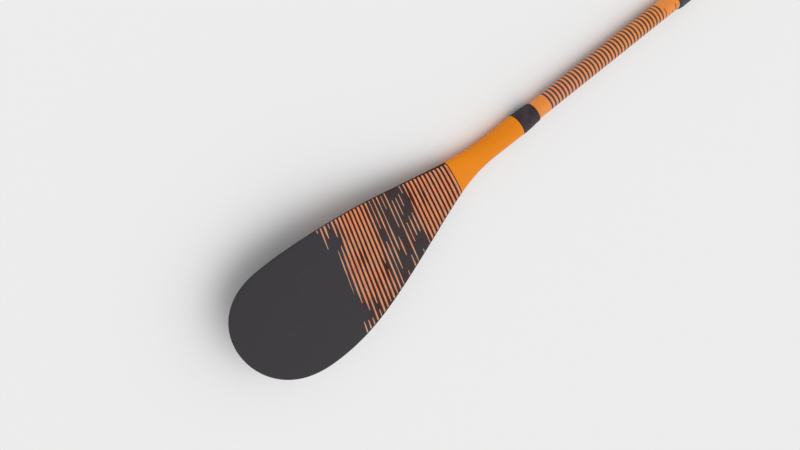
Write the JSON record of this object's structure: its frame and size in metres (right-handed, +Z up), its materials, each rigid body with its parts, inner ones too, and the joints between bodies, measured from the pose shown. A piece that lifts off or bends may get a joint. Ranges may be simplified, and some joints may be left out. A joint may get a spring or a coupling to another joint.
{
  "type": "stand-up paddleboard paddle",
  "caption": "Adjustable stand-up paddle in sections: a canted striped blade, a snap-jointed shaft, a cam-lever clamp and a sliding extension with a palm grip.",
  "frame": {"origin": "on the surface that the paddle lies on, under the middle of its length", "axes": "+X along the shaft from the blade to the grip, +Y across the blade, +Z up out of the blade's back face, the one with the stripes; the blade's tip is at -X"},
  "size_m": [1.6943, 0.219, 0.0561],
  "materials": {
    "back_laminate": "satin printed glass-fibre laminate, charcoal with orange lines and an orange neck",
    "power_laminate": "satin printed glass-fibre laminate, charcoal with orange lines and an orange neck",
    "foam": "white closed-cell foam",
    "collar_rubber": "matt dark grey rubber",
    "shaft_print": "orange lacquer over laminate with printed dark rings",
    "black_nylon": "fine-textured black nylon",
    "bush_acetal": "smooth pale grey acetal",
    "lever_nylon": "satin black nylon",
    "dark_laminate": "clear-coated black laminate",
    "stainless": "brushed stainless steel",
    "soft_grip": "soft matt dark grey elastomer"
  },
  "bodies": {
    "paddle": {"blade_back_skin": "back_laminate", "blade_power_skin": "power_laminate", "blade_core": "foam", "neck_collar": "collar_rubber", "lower_shaft": "shaft_print", "lower_shaft_plug": "foam", "joint_sleeve": "black_nylon", "joint_ferrule": "dark_laminate", "ferrule_cap": "black_nylon", "clip_base_leaf": "stainless", "ferrule_plug": "foam", "upper_shaft": "shaft_print", "clamp_body": "black_nylon", "clamp_bush": "bush_acetal", "lever_pin": "stainless", "tension_screw": "stainless", "screw_washer": "stainless", "cam_washer": "stainless"},
    "extension": {"extension_tube": "dark_laminate", "extension_guide": "bush_acetal", "extension_plug": "foam", "grip_core": "black_nylon", "grip_cover": "soft_grip", "grip_screw": "stainless"},
    "lever": {"cam_lever": "lever_nylon"},
    "snap_clip": {"clip_button_leaf": "stainless", "snap_button": "stainless"}
  },
  "joints": [
    {"name": "extension_slide", "type": "slide", "parent": "paddle", "child": "extension", "axis": [1, 0, 0], "range_m": [0, 0.38]},
    {"name": "cam_lever_pivot", "type": "hinge", "parent": "paddle", "child": "lever", "pos_m": [0.64765, 0.015, 0.0411], "axis": [1, 0, 0], "range_deg": [0, 120]},
    {"name": "snap_button_press", "type": "hinge", "parent": "paddle", "child": "snap_clip", "pos_m": [-0.02635, 0, 0.0226], "axis": [0, 1, 0], "range_deg": [0, 4.2], "stiffness_Nm_per_rad": 4, "springref_deg": -1.72}
  ]
}
